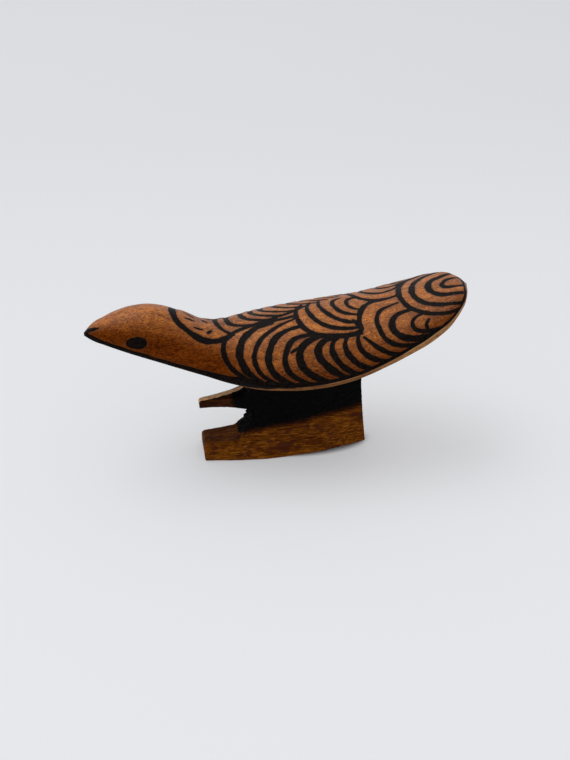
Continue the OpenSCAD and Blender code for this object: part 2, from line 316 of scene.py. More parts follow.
def box_cutter(lo, hi, M=Matrix.Identity(4)):
    bm = bmesh.new()
    vs = [bm.verts.new((M @ Vector((x, y, z))) * MM) for x in (lo[0], hi[0]) for y in (lo[1], hi[1]) for z in (lo[2], hi[2])]
    for f in ((0, 1, 3, 2), (4, 6, 7, 5), (0, 4, 5, 1), (2, 3, 7, 6), (0, 2, 6, 4), (1, 5, 7, 3)):
        bm.faces.new([vs[i] for i in f])
    bmesh.ops.recalc_face_normals(bm, faces=bm.faces)
    me = bpy.data.meshes.new("cutter")
    bm.to_mesh(me)
    bm.free()
    o = bpy.data.objects.new("cutter", me)
    bpy.context.scene.collection.objects.link(o)
    return o


def rod_cutter(x, y, z0, z1, r, n=48):
    bm = bmesh.new()
    a = [bm.verts.new(Vector((x + r * math.cos(6.283185 * i / n), y + r * math.sin(6.283185 * i / n), z0)) * MM) for i in range(n)]
    b = [bm.verts.new(Vector((x + r * math.cos(6.283185 * i / n), y + r * math.sin(6.283185 * i / n), z1)) * MM) for i in range(n)]
    bm.faces.new(a)
    bm.faces.new(b)
    for i in range(n):
        bm.faces.new([a[i], a[(i + 1) % n], b[(i + 1) % n], b[i]])
    bmesh.ops.recalc_face_normals(bm, faces=bm.faces)
    me = bpy.data.meshes.new("cutter")
    bm.to_mesh(me)
    bm.free()
    o = bpy.data.objects.new("cutter", me)
    bpy.context.scene.collection.objects.link(o)
    return o


def verts_of(o):
    a = np.empty(len(o.data.vertices) * 3)
    o.data.vertices.foreach_get("co", a)
    return a.reshape(-1, 3) / MM


def put_verts(o, V):
    o.data.vertices.foreach_set("co", (V * MM).ravel())
    o.data.update()


def attribute(o, name, values):
    a = o.data.attributes.get(name) or o.data.attributes.new(name, "FLOAT", "POINT")
    a.data.foreach_set("value", np.asarray(values, np.float32))


def shade(o, angle):
    me = o.data
    me.shade_smooth()
    me.set_sharp_from_angle(angle=math.radians(angle))


# windway frame, as in the CAD
mouth_x, block_up, block_dn, block_w, window_w, window_len, labium_len = 71.0, 2.0, 3.6, 13.0, 11.0, 5.5, 13.0
pitch = math.atan2(float(bs(98) - 0.6 - bs(mouth_x)), 98 - mouth_x)
MOUTH = Matrix.Translation((mouth_x, 0, float(bs(mouth_x)))) @ Matrix.Rotation(-pitch, 4, "Y")


def stations(x0, x1, step):
    inner = np.arange(max(x0, -97.5), min(x1, 97.5) + 1e-6, step)
    parts = [inner]
    if x0 < -98:
        parts.insert(0, -100 + 2.5 * np.array([0, 0.03, 0.08, 0.15, 0.24, 0.35, 0.48, 0.63, 0.8]))
    if x1 > 98:
        parts.append(100 - 2.5 * np.array([0.8, 0.63, 0.48, 0.35, 0.24, 0.15, 0.08, 0.03, 0]))
    return np.unique(np.round(np.concatenate(parts + [[x0, x1]]), 4))


# ---------------------------------------------------------------- carved back
def build_back():
    NT, NK = 176, 28
    xs = stations(-100, 100, 0.52)
    xs = np.unique(np.concatenate([xs[np.abs(xs + 24) > 0.26], [-24.0]]))
    t = np.linspace(0, 180, NT + 1)
    s = np.linspace(0, math.pi, NK + 1)[1:-1]
    V, F = [], []

    def add(P):
        V.append(P)
        return len(V) - 1

    U, LA, LB = [], [], []
    for x in xs:
        P = top_point(np.full(NT + 1, x), t)
        U.append([add(p) for p in P])
        a, z, h, b = float(bw(x)), float(bs(x)), float(bh(x)), float(bd(x))
        la = lb = None
        if x <= -24:
            la = [add((x, a * math.cos(q), z - b * math.sin(q) ** 0.6)) for q in s]
        if x >= -24:
            w = max(float(cw(x)), 0.3) if -20 < x < 80 else 0.3
            hc = max(float(ch(x)), 0.0) if -20 < x < 80 else 0.0
            lb = []
            for k in range(1, NK):
                if k <= 4:
                    lb.append(add((x, a + (w - a) * k / 4, z)))
                elif k >= NK - 4:
                    lb.append(add((x, -a + (a - w) * (NK - k) / 4, z)))
                else:
                    q = math.pi * (k - 4) / (NK - 8)
                    lb.append(add((x, w * math.cos(q), z + hc * math.sin(q))))
        LA.append(la)
        LB.append(lb)
    for i in range(len(xs) - 1):
        for j in range(NT):
            F.append((U[i][j], U[i][j + 1], U[i + 1][j + 1], U[i + 1][j]))
        A = LA[i] if xs[i + 1] <= -24 else LB[i]
        B = LA[i + 1] if xs[i + 1] <= -24 else LB[i + 1]
        ra = [U[i][NT]] + A + [U[i][0]]
        rb = [U[i + 1][NT]] + B + [U[i + 1][0]]
        for k in range(len(ra) - 1):
            F.append((ra[k], ra[k + 1], rb[k + 1], rb[k]))
    i = int(np.where(np.abs(xs + 24) < 1e-6)[0][0])
    ra = [U[i][NT]] + LA[i] + [U[i][0]]
    rb = [U[i][NT]] + LB[i] + [U[i][0]]
    for k in range(len(ra) - 1):
        f = [ra[k], ra[k + 1], rb[k + 1], rb[k]]
        g = []
        for v in f:
            if v not in g:
                g.append(v)
        if len(g) > 2:
            F.append(tuple(g))
    F.append(tuple(U[0] + LA[0]))
    F.append(tuple(reversed(U[-1] + LB[-1])))
    o = new_object("carved_back_wood", V, F)
    cut(o, [box_cutter((0, -block_w / 2, -block_dn), (60, block_w / 2, block_up), MOUTH)])
    P = verts_of(o)
    x, y, z = P.T
    a, zr, h, b = bw(x), bs(x), bh(x), bd(x)
    up = z > zr + 1e-4
    r = np.sqrt((y / a) ** 2 + ((z - zr) / h) ** 2)
    skin = (np.abs(r - 1) < 0.01) & (z > zr - 0.01) & (np.abs(x) < 99.9)
    N = np.stack([-(bw(x + 0.5) - bw(x - 0.5)) * np.abs(y) / a - (bs(x + 0.5) - bs(x - 0.5)) * (z - zr) / h, y / a**2 * a, (z - zr) / h**2 * h], -1)
    N /= np.maximum(np.linalg.norm(N, axis=1, keepdims=True), 1e-9)
    d = np.full(len(P), 3.5)
    d[skin] = line_distance(P[skin])
    # keel of the head and breast: burned down from the seam
    keel = (x <= -23.9) & (z <= zr + 0.01)
    drop = zr - z
    start = np.interp(x, [-99, -96, -90, -75, -60, -45, -36, -30, -24], [-1.0, -0.7, 0.1, 1.1, 1.3, 0.7, -0.3, -1.3, -2.0]) + 0.15 * waves(P, 9, 5)
    d[keel] = np.clip(start - drop, -3.5, 3.5)[keel]
    edge = skin & (x < -24)
    rise = (z - zr)
    d[edge] = np.minimum(d[edge], np.clip(start + rise, -3.5, 3.5)[edge])
    tip = x < -99.3
    d[tip] = -2.0
    depth = 0.24 * smooth(0.35, -0.6, d) * skin
    hand = 0.10 * waves(P, 15, 3) + 0.05 * waves(P, 7, 4)
    fade = smooth(0, 2.5, rise) * skin
    P2 = P - N * (depth * smooth(0.0, 1.2, rise))[:, None] + N * (hand * fade)[:, None]
    P2[:, 2] = np.where(skin, np.maximum(P2[:, 2], zr), P2[:, 2])
    put_verts(o, P2)
    # painted shade: this factor is low on the lower sides and high on the crown; the wood colour is darkened where it
    # is low, standing in for how the light falls
    rr = np.clip(rise / h, 0, 1)
    body = smooth(-34, -12, x)
    attribute(o, "painted_shade_tone", (1 - body) * smooth(0.3, 1.08, rr) ** 1.7 + body * smooth(0.0, 1.0, rr) * (1 - 0.3 * smooth(38, 60, x) * (1 - rr)))
    attribute(o, "burn", d)
    attribute(o, "inside", (~skin & ~keel & ~tip).astype(float))
    shade(o, 50)
    return o


# ---------------------------------------------------------------- belly plate
def build_plate():
    NB, NTOP = 104, 16
    xs = stations(-24, 100, 0.6)
    V, F = [], []
    q = np.linspace(0, math.pi, NB + 1)
    rings = []
    for x in xs:
        a, z, b = float(bw(x)), float(bs(x)), float(bd(x))
        ring = []
        for k in q:
            V.append((x, a * math.cos(k), z - b * max(0.0, math.sin(k)) ** 0.6))
            ring.append(len(V) - 1)
        for k in range(1, NTOP):
            V.append((x, -a + 2 * a * k / NTOP, z))
            ring.append(len(V) - 1)
        rings.append(ring)
    n = len(rings[0])
    for i in range(len(xs) - 1):
        for k in range(n):
            F.append((rings[i][k], rings[i][(k + 1) % n], rings[i + 1][(k + 1) % n], rings[i + 1][k]))
    F.append(tuple(rings[0]))
    F.append(tuple(reversed(rings[-1])))
    o = new_object("belly_plate_wood", V, F)
    cutters = [
        box_cutter((0, -block_w / 2, -block_dn), (60, block_w / 2, block_up + 3), MOUTH),
        box_cutter((-window_len - 0.4, -window_w / 2, -18), (0.3, window_w / 2, 6), MOUTH),
        box_cutter((-window_len - labium_len, -block_w / 2, -18), (-window_len, block_w / 2, 6), MOUTH),
    ]
    for s in (-1, 1):
        cutters.append(rod_cutter(2, s * 17, 30, 80, 3.0))
        cutters.append(rod_cutter(34, s * 19, 30, 80, 3.5))
        for px in (12, 54):
            cutters.append(rod_cutter(px, s * (float(bw(px)) - 3.1), 30, 90, 1.5, 32))
    cut(o, cutters)
    P = verts_of(o)
    x, y, z = P.T
    a, zr, b = bw(x), bs(x), bd(x)
    drop = zr - z
    low = zr - b * np.maximum(0, 1 - (y / a) ** 2) ** 0.3
    skin = (np.abs(z - low) < 0.02) & (drop > 0.02)
    hand = 0.06 * waves(P, 13, 8) * smooth(0.5, 3, drop)
    P2 = P.copy()
    P2[:, 2] -= np.where(skin, hand, 0)
    put_verts(o, P2)
    attribute(o, "drop", drop + 0.25 * waves(P, 11, 9))
    attribute(o, "burn", drop - np.interp(x, [-24, -18, -8, 6, 20], [3.2, 2.2, 1.0, 0.3, -0.5]) + 0.2 * waves(P, 6, 10))
    attribute(o, "waist", smooth(56, 40, x))
    attribute(o, "skin", skin.astype(float))
    attribute(o, "under", smooth(0.86, 0.72, np.abs(y) / a))
    shade(o, 40)
    return o


# ---------------------------------------------------------------- pedestal
OUTLINE = [
    (-41.8, 0), (-42, 4), (-42, 7.6), (-41, 9), (-34, 9.4), (-28, 9.5),
    (-24, 9.8), (-22.4, 10.6), (-22, 12.2), (-20.2, 13.4), (-18.6, 15), (-18.4, 16.8),
    (-16.6, 18), (-17, 19.6), (-15.4, 21), (-15.8, 22.8), (-13.8, 24), (-13.6, 25.4),
    (-12.6, 27), (-20, 28.2), (-28, 28.8), (-36, 28.8),
    (-43.2, 28.4), (-43.5, 31.6), (-42.8, 32.8), (-36, 33.6), (-29, 34.6), (-24, 35.4),
    (-20, 36.2), (-17.8, 37.4), (-16.8, 39.6)]


def pedestal_half(x, z):
    wb, wf, zf, wm = (blend(PT, x, k) for k in (1, 2, 3, 4))
    u = np.clip((z - zf) / (26 - zf), 0, 1)
    w = wm + (wf - wm) * (1 - u) ** 1.6
    w = np.where(z < zf, wb + (wf - wb) * np.clip(z / zf, 0, 1), w)
    w = np.where(z > 26, wm + 0.3 * (z - 26) / 10, w)
    w = np.where(z > 36, wm + 0.3 + 0.9 * (z - 36) / 8, w)
    return np.where(z > 44, wm + 1.2 + (z - 44) / 14, w)


def dist_to_loop(Q, L):
    A, B = L, np.roll(L, -1, 0)
    best = np.full(len(Q), 1e9)
    for a, b in zip(A, B):
        ab = b - a
        s = np.clip((Q - a) @ ab / (ab @ ab), 0, 1)
        best = np.minimum(best, np.linalg.norm(Q - a - s[:, None] * ab, axis=1))
    return best


def inside_loop(Q, L):
    x, y = Q.T
    c = np.zeros(len(Q), bool)
    A, B = L, np.roll(L, -1, 0)
    for (x1, y1), (x2, y2) in zip(A, B):
        if y1 != y2:
            c ^= ((y1 > y) != (y2 > y)) & (x < (x2 - x1) * (y - y1) / (y2 - y1) + x1)
    return c


def build_pedestal():
    top = [(x, float(bs(x) - bd(x)) + 0.9) for x in np.arange(-16.6, 42.5, 2.0)]
    loop = OUTLINE + top + [(42.7, float(bs(42.7) - bd(42.7)) + 0.9), (44.2, 38.7), (45.8, 20), (47.4, 3), (47.4, 0)]
    L = np.array(loop, float)
    # even points along the outline, with carved irregularity
    out = []
    for a, b in zip(L, np.roll(L, -1, 0)):
        n = max(1, int(round(np.linalg.norm(b - a) / 0.6)))
        for i in range(n):
            out.append(a + (b - a) * i / n)
    B = np.array(out)
    t = np.roll(B, -1, 0) - np.roll(B, 1, 0)
    nrm = np.stack([t[:, 1], -t[:, 0]], 1)
    nrm /= np.linalg.norm(nrm, axis=1, keepdims=True)
    B3 = np.stack([B[:, 0], 0 * B[:, 0], B[:, 1]], 1)
    jag = (B[:, 0] > -25) & (B[:, 0] < -11) & (B[:, 1] > 9.6) & (B[:, 1] < 28)
    amp = np.where(jag, 0.28, 0.07) * smooth(0.4, 1.5, B[:, 1]) * (B[:, 1] < 40)
    B = B + nrm * (amp * (0.7 * waves(B3, 3.2, 21) + 0.5 * waves(B3, 1.5, 22)))[:, None]
    B[:, 1] = np.maximum(B[:, 1], 0)
    step = 0.55
    gx, gz = np.meshgrid(np.arange(-44, 48, step), np.arange(0.3, 60, step * 0.9))
    gx = gx + (np.arange(gx.shape[0]) % 2)[:, None] * step / 2
    G = np.stack([gx.ravel(), gz.ravel()], 1)
    G = G[inside_loop(G, B)]
    G = G[dist_to_loop(G, B) > 0.95]
    offs = []
    for d in (0.12, 0.34, 0.62):
        t = np.roll(B, -1, 0) - np.roll(B, 1, 0)
        nn = np.stack([t[:, 1], -t[:, 0]], 1)
        nn /= np.linalg.norm(nn, axis=1, keepdims=True)
        area = np.sum(B[:, 0] * np.roll(B[:, 1], -1) - np.roll(B[:, 0], -1) * B[:, 1])
        Q = B + nn * d * (-1 if area > 0 else 1)
        Q = Q[inside_loop(Q, B)]
        Q = Q[dist_to_loop(Q, B) > d * 0.93]
        offs.append(Q)
    Pts = np.vstack([B] + offs + [G])
    nb = len(B)
    res = delaunay_2d_cdt([Vector(p) for p in Pts.tolist()], [(i, (i + 1) % nb) for i in range(nb)], [list(range(nb))], 1, 1e-5)
    PV = np.array([tuple(v) for v in res[0]])
    faces = [tuple(f) for f in res[2]]
    dist = dist_to_loop(PV, B)
    half = pedestal_half(PV[:, 0], PV[:, 1])
    r = np.where(PV[:, 1] > 40, 0.02, 0.7)
    k = np.clip(1 - dist / r, 0, 1)
    half = half - r * (1 - np.sqrt(np.maximum(0, 1 - k**2))) * smooth(0.0, 0.5, PV[:, 1])
    # hand-cut surface: shallow facets, and deeper scoring in the charred waist
    S = np.stack([PV[:, 0] * 0.45, 0 * half, PV[:, 1]], 1)
    char = smooth(-1.5, 2.5, PV[:, 1] - (11 + (PV[:, 0] + 22) * 0.26)) * smooth(-24, -18, PV[:, 0])
    wav = 0.12 * waves(S, 6, 31) + 0.05 * waves(S, 2.2, 32)
    sides = []
    V = []
    for s, seed in ((-1, 41), (1, 42)):
        w = half + wav * smooth(0, 1.5, dist) + (0.10 + 0.10 * char) * waves(S, 3.0, seed) * smooth(0, 1.5, dist)
        sides.append(len(V))
        V += [(p[0], s * hw, p[1]) for p, hw in zip(PV, w)]
    n = len(PV)
    F = [tuple(f) for f in faces] + [tuple(i + n for i in reversed(f)) for f in faces]
    # walls between the two faces along the outline
    edges = {}
    for f in faces:
        for a, b in zip(f, f[1:] + f[:1]):
            edges[(a, b)] = 1
    rim = [(a, b) for (a, b) in edges if (b, a) not in edges]
    NY = 24
    rows = {}
    VV = np.array(V)
    rimv = sorted({v for e in rim for v in e})
    for v in rimv:
        a, b = VV[v], VV[v + n]
        ids = [v]
        for i in range(1, NY):
            f = i / NY
            V.append(tuple(a + (b - a) * f))
            ids.append(len(V) - 1)
        ids.append(v + n)
        rows[v] = ids
    for a, b in rim:
        for i in range(NY):
            F.append((rows[a][i], rows[a][i + 1], rows[b][i + 1], rows[b][i]))
    o = new_object("pedestal_wood", V, F)
    P = verts_of(o)
    x, y, z = P.T
    # roughen the walls of the notch
    wall = np.zeros(len(P), bool)
    wall[2 * n:] = True
    jag = wall & (x > -25) & (x < -11) & (z > 9.6) & (z < 28)
    P[jag, 0] += 0.45 * waves(P[jag], 3.0, 51) + 0.25 * waves(P[jag], 1.4, 52)
    flat = wall & (~jag) & (z > 1) & (z < 40)
    P[flat, 2] += 0.10 * waves(P[flat], 4.0, 53)
    put_verts(o, P)
    x, y, z = P.T
    zb = np.interp(x, [-24, -17, -1, 19, 42], [16.6, 18.2, 20.6, 23.0, 26.6]) + 0.45 * waves(P, 16, 61) + 0.15 * waves(P, 5, 62)
    c = smooth(-6.5, 2.4, z - zb) * smooth(-25, -19, x + 0.25 * (z - 20))
    root = (x > -24) & (x < -11.5) & (z > 10) & (z < 28) & wall
    c = np.where(root & (x > -22.5), np.maximum(c, smooth(7.5, 10.5, 0.87 * z + 0.5 * y)), c)
    # painted shade: the top face of the lower prong is marked so its colour can be darkened, so it reads no lighter
    # than the front face under the overhead light
    lowtop_painted_shade = wall & (x < -17) & (z > 6.5) & (z < 14)
    prong = smooth(26, 28.5, z) * smooth(-19, -24, x)
    topw = wall & (z > 30.5) & (x < -16.9) & (z > 32.4 + np.interp(x, [-43, -36, -24, -20, -17.5], [-0.5, 0.6, 2.2, 3.0, 3.6]))
    attribute(o, "char", np.maximum(c, 0.0))
    hp = pedestal_half(x, z)
    far = smooth(-0.8, 0.8, y - (hp - np.interp(x, [-43, -36, -22, -18], [4.4, 4.4, 4.6, 3.2])) + 0.22 * waves(P, 5, 63))
    attribute(o, "prong", np.maximum(prong, 0))
    attribute(o, "lowtop_painted_shade", lowtop_painted_shade.astype(float))
    tip = (wall & (x < -42.3) & (z > 29)).astype(float)
    # bare uncharred wood on the prong top and tip, partly painted light: its colour is made brighter to stand against
    # the shade cast by the bird above
    attribute(o, "raw_and_painted_light", np.maximum(topw * far, tip))
    P[:, 2] -= np.where(topw, 1.1 * (1 - smooth(-6, 0, y - (hp - 4.4))) * smooth(-44, -40, x), 0)
    put_verts(o, P)
    shade(o, 48)
    return o


# ---------------------------------------------------------------- materials
class Nodes:
    def __init__(self, name):
        self.m = bpy.data.materials.new(name)
        self.m.use_nodes = True
        self.t = self.m.node_tree
        self.t.nodes.clear()
        self.out = self.t.nodes.new("ShaderNodeOutputMaterial")
        self.bsdf = self.t.nodes.new("ShaderNodeBsdfPrincipled")
        self.t.links.new(self.bsdf.outputs[0], self.out.inputs[0])

    def new(self, kind, **props):
        n = self.t.nodes.new(kind)
        for k, v in props.items():
            setattr(n, k, v)
        return n

    def link(self, a, b):
        self.t.links.new(a, b)

    def val(self, sock, v):
        if hasattr(v, "is_output") or isinstance(v, bpy.types.NodeSocket):
            self.link(v, sock)
        else:
            sock.default_value = v

    def math(self, op, a, b=0.0, c=0.0, clamp=False):
        n = self.new("ShaderNodeMath", operation=op, use_clamp=clamp)
        self.val(n.inputs[0], a)
        self.val(n.inputs[1], b)
        if len(n.inputs) > 2:
            self.val(n.inputs[2], c)
        return n.outputs[0]

    def step(self, v, a, b, lo=0.0, hi=1.0):
        n = self.new("ShaderNodeMapRange", interpolation_type="SMOOTHSTEP")
        self.val(n.inputs["Value"], v)
        n.inputs["From Min"].default_value = a
        n.inputs["From Max"].default_value = b
        n.inputs["To Min"].default_value = lo
        n.inputs["To Max"].default_value = hi
        return n.outputs[0]

    def mix(self, f, a, b, blend="MIX"):
        n = self.new("ShaderNodeMix", data_type="RGBA", blend_type=blend)
        self.val(n.inputs["Factor"], f)
        for s, v in ((n.inputs[6], a), (n.inputs[7], b)):
            if isinstance(v, (tuple, list)):
                s.default_value = tuple(v) + ((1.0,) if len(v) == 3 else ())
            else:
                self.link(v, s)
        return n.outputs[2]

    def coords(self, scale, rot=(0, 0, 0), loc=(0, 0, 0)):
        tc = self.new("ShaderNodeTexCoord")
        mp = self.new("ShaderNodeMapping")
        mp.inputs["Scale"].default_value = scale
        mp.inputs["Rotation"].default_value = rot
        mp.inputs["Location"].default_value = loc
        self.link(tc.outputs["Object"], mp.inputs["Vector"])
        return mp.outputs[0]

    def noise(self, vec, scale=1.0, detail=2.0, rough=0.5, dist=0.0):
        n = self.new("ShaderNodeTexNoise")
        self.link(vec, n.inputs["Vector"])
        n.inputs["Scale"].default_value = scale
        n.inputs["Detail"].default_value = detail
        n.inputs["Roughness"].default_value = rough
        n.inputs["Distortion"].default_value = dist
        return n.outputs["Fac"]

    def attr(self, name):
        n = self.new("ShaderNodeAttribute", attribute_name=name)
        return n.outputs["Fac"]

    def bump(self, h, strength, dist):
        n = self.new("ShaderNodeBump")
        n.inputs["Strength"].default_value = strength
        n.inputs["Distance"].default_value = dist
        self.link(h, n.inputs["Height"])
        return n


def wood_base(N, dark, mid, light, rot=(0, 0, 0), pore=0.5, seed=0.0, figure=1.0, run=1.0):
    """Colour, pore mask and fibre height of a piece of hardwood with the grain along X."""
    loc = (seed, seed * 0.7, seed * 1.3)
    broad = N.noise(N.coords((14, 60, 60), rot, loc), 1.0, 3.0, 0.55, 0.3)
    rings = N.noise(N.coords((9, 240, 200), rot, loc), 1.0, 3.0, 0.6, 0.6)
    fine = N.noise(N.coords((90, 1500, 1500), rot, loc), 1.0, 3.0, 0.6, 0.0)
    mott = N.noise(N.coords((160, 420, 420), rot, loc), 1.0, 4.0, 0.65, 0.4)
    f = N.math("ADD", N.math("MULTIPLY", broad, 0.45 * figure), N.math("MULTIPLY", rings, 0.35 * figure))
    f = N.math("ADD", f, N.math("MULTIPLY", fine, 0.22))
    f = N.math("ADD", f, N.math("MULTIPLY", mott, 0.35))
    f = N.math("SUBTRACT", f, 0.18 + 0.40 * figure - 0.28)
    c = N.mix(N.step(f, 0.22, 0.50), dark, mid)
    c = N.mix(N.step(f, 0.46, 0.80), c, light)
    pn = N.noise(N.coords((420, 2300, 2300), rot, loc), 1.0, 2.0, 0.55, 0.2)
    pores = N.step(pn, 0.60, 0.70)
    c = N.mix(N.math("MULTIPLY", pores, pore), c, tuple(v * 0.30 for v in dark))
    fl = N.noise(N.coords((850 * run, 1900, 1900), rot, loc), 1.0, 2.0, 0.6)
    c = N.mix(N.math("MULTIPLY", N.step(fl, 0.545, 0.64), min(1.0, 1.35 * pore)), c, tuple(v * 0.5 for v in dark))
    c = N.mix(N.math("MULTIPLY", N.step(fl, 0.455, 0.36), 0.8 * pore), c, tuple(v * 1.15 for v in light))
    mt = N.noise(N.coords((150 * run, 480, 480), rot, loc), 1.0, 3.0, 0.6)
    c = N.mix(1.0, c, N.mix(N.step(mt, 0.32, 0.68), (0.76, 0.72, 0.66), (1.17, 1.20, 1.22)), "MULTIPLY")
    return c, pores, fine, mott


def finish(N, color, rough, normal=None, coat=0.0, coat_rough=0.3, ior=1.5, spec=0.5):
    b = N.bsdf
    N.val(b.inputs["Base Color"], color if not isinstance(color, tuple) else color + (1.0,))
    N.val(b.inputs["Roughness"], rough)
    b.inputs["IOR"].default_value = ior
    N.val(b.inputs["Specular IOR Level"], spec)
    b.inputs["Coat Weight"].default_value = coat
    b.inputs["Coat Roughness"].default_value = coat_rough
    if normal is not None:
        N.link(normal.outputs[0], b.inputs["Normal"])
        N.link(normal.outputs[0], b.inputs["Coat Normal"])


def mat_back():
    N = Nodes("carved_wood_burned")
    c, pores, fine, mott = wood_base(N, (0.205, 0.050, 0.0045), (0.520, 0.153, 0.018), (0.740, 0.280, 0.056), rot=(0, 0.12, 0.03), pore=0.62, seed=0.31)
    painted_shade_tone = N.attr("painted_shade_tone")
    # painted shade: the wood colour is darkened towards the lower sides of head and body
    c = N.mix(painted_shade_tone, N.mix(1.0, c, (0.28, 0.19, 0.10), "MULTIPLY"), c)
    d = N.attr("burn")
    e1 = N.noise(N.coords((1500, 1500, 1500)), 1.0, 3.0, 0.6)
    e2 = N.noise(N.coords((330, 330, 330)), 1.0, 2.0, 0.5)
    edge = N.math("ADD", d, N.math("MULTIPLY", N.math("SUBTRACT", e1, 0.5), 0.55))
    edge = N.math("ADD", edge, N.math("MULTIPLY", N.math("SUBTRACT", e2, 0.5), 0.35))
    mask = N.step(edge, 0.16, -0.16)
    halo = N.step(edge, 1.15, 0.05)
    c = N.mix(N.math("MULTIPLY", halo, 0.42), c, (0.115, 0.036, 0.010))
    tn = N.noise(N.coords((700, 900, 900)), 1.0, 4.0, 0.7)
    coal = N.mix(N.step(tn, 0.35, 0.72), (0.0028, 0.0019, 0.0015), (0.013, 0.0085, 0.007))
    col = N.mix(mask, c, coal)
    inside = N.attr("inside")
    col = N.mix(inside, col, (0.30, 0.15, 0.06))
    r = N.math("ADD", N.step(mott, 0.3, 0.7, 0.34, 0.46), N.math("MULTIPLY", pores, 0.15))
    r = N.math("ADD", r, N.math("MULTIPLY", mask, 0.12))
    h = N.math("ADD", N.math("MULTIPLY", fine, 0.35), N.math("MULTIPLY", pores, -0.7))
    h = N.math("ADD", h, N.math("MULTIPLY", N.math("MULTIPLY", tn, mask), 1.1))
    bp = N.bump(h, 0.35, 0.00022)
    finish(N, col, r, bp, coat=0.0, spec=N.math("MULTIPLY_ADD", N.math("MULTIPLY", painted_shade_tone, N.math("SUBTRACT", 1.0, N.math("MULTIPLY", mask, 0.78))), 0.33, 0.010))
    return N.m


def mat_plate():
    N = Nodes("belly_plate_wood")
    c, pores, fine, mott = wood_base(N, (0.20, 0.075, 0.020), (0.36, 0.165, 0.052), (0.50, 0.26, 0.10), rot=(0, 0.10, 0), pore=0.35, seed=1.7, figure=0.6)
    u = N.attr("under")
    c2, p2, f2, m2 = wood_base(N, (0.12, 0.045, 0.014), (0.21, 0.085, 0.028), (0.30, 0.13, 0.05), rot=(0, 0.10, 0), pore=0.5, seed=2.9)
    col = N.mix(u, c, c2)
    sk = N.attr("skin")
    col = N.mix(sk, (0.46, 0.27, 0.13), col)
    d = N.attr("drop")
    col = N.mix(N.step(d, 0.6, 0.1, 0.0, 0.75), col, (0.10, 0.035, 0.012))
    col = N.mix(N.step(N.attr("burn"), 0.3, -0.3), col, (0.006, 0.005, 0.005))
    col = N.mix(N.math("MULTIPLY", N.attr("waist"), 0.55), col, N.mix(1.0, col, (0.45, 0.34, 0.30), "MULTIPLY"))
    h = N.math("ADD", N.math("MULTIPLY", fine, 0.4), N.math("MULTIPLY", pores, -0.6))
    finish(N, col, N.step(mott, 0.3, 0.7, 0.5, 0.62), N.bump(h, 0.3, 0.0002), coat=0.0, spec=0.06)
    return N.m


def mat_pedestal():
    N = Nodes("pedestal_wood_charred")
    c, pores, fine, mott = wood_base(N, (0.070, 0.014, 0.0015), (0.170, 0.048, 0.003), (0.330, 0.125, 0.010), rot=(0, -0.20, 0), pore=0.6, seed=4.2, run=0.14)
    # darker reddish stain patches
    st = N.noise(N.coords((120, 200, 200), (0, 0, 0), (3.1, 0, 1.2)), 1.0, 2.0, 0.5)
    c = N.mix(N.step(st, 0.54, 0.66, 0.0, 0.85), c, (0.055, 0.012, 0.005))
    pr = N.attr("prong")
    streak = N.noise(N.coords((60, 900, 900), (0, 0.08, 0), (7, 0, 0)), 1.0, 3.0, 0.6)
    c = N.mix(N.math("MULTIPLY", pr, N.step(streak, 0.35, 0.65, 0.72, 1.0)), c, (0.022, 0.006, 0.003))
    # painted shade: the lower prong's top face is darkened
    c = N.mix(N.math("MULTIPLY", N.attr("lowtop_painted_shade"), 0.8), c, N.mix(1.0, c, (0.55, 0.50, 0.45), "MULTIPLY"))
    ch_ = N.attr("char")
    c = N.mix(N.step(ch_, 0.0, 0.40), c, N.mix(1.0, c, (0.40, 0.33, 0.3), "MULTIPLY"))
    en = N.noise(N.coords((300, 500, 500)), 1.0, 4.0, 0.65)
    m = N.step(N.math("ADD", ch_, N.math("MULTIPLY", N.math("SUBTRACT", en, 0.5), 0.28)), 0.22, 0.80)
    tn = N.noise(N.coords((500, 1200, 1200)), 1.0, 4.0, 0.7)
    coal = N.mix(N.step(tn, 0.35, 0.75), (0.0012, 0.0011, 0.0012), (0.0050, 0.0042, 0.0042))
    col = N.mix(m, c, coal)
    # bare wood on the upper prong, partly painted light: its colour is made nearly white-bright to offset the shade
    # cast by the bird above
    raw_and_painted_light = N.attr("raw_and_painted_light")
    rc, rp, rf, rm = wood_base(N, (0.72, 0.37, 0.16), (0.93, 0.56, 0.29), (0.97, 0.70, 0.43), rot=(0, -0.1, 0), pore=0.3, seed=6.0, figure=0.5)
    col = N.mix(N.step(raw_and_painted_light, 0.3, 0.7), col, rc)
    r = N.math("ADD", N.step(mott, 0.3, 0.7, 0.42, 0.55), N.math("MULTIPLY", m, 0.15))
    h = N.math("ADD", N.math("MULTIPLY", fine, 0.5), N.math("MULTIPLY", pores, -0.6))
    h = N.math("ADD", h, N.math("MULTIPLY", N.math("MULTIPLY", tn, m), 1.3))
    finish(N, col, r, N.bump(h, 0.4, 0.00025), coat=0.0, spec=0.02)
    return N.m


def mat_plain(name, dark, mid, light, seed, coat=0.1):
    N = Nodes(name)
    c, pores, fine, mott = wood_base(N, dark, mid, light, pore=0.4, seed=seed)
    h = N.math("ADD", N.math("MULTIPLY", fine, 0.4), N.math("MULTIPLY", pores, -0.6))
    finish(N, c, N.step(mott, 0.3, 0.7, 0.42, 0.55), N.bump(h, 0.3, 0.0002), coat=coat)
    return N.m


# ---------------------------------------------------------------- put it together
back = build_back()
back.data.materials.append(mat_back())
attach(back, "root")
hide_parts("carved_back")

plate = build_plate()
plate.data.materials.append(mat_plate())
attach(plate, "root")
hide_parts("belly_plate")

stand = build_pedestal()
stand.data.materials.append(mat_pedestal())
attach(stand, "root")
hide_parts("pedestal")

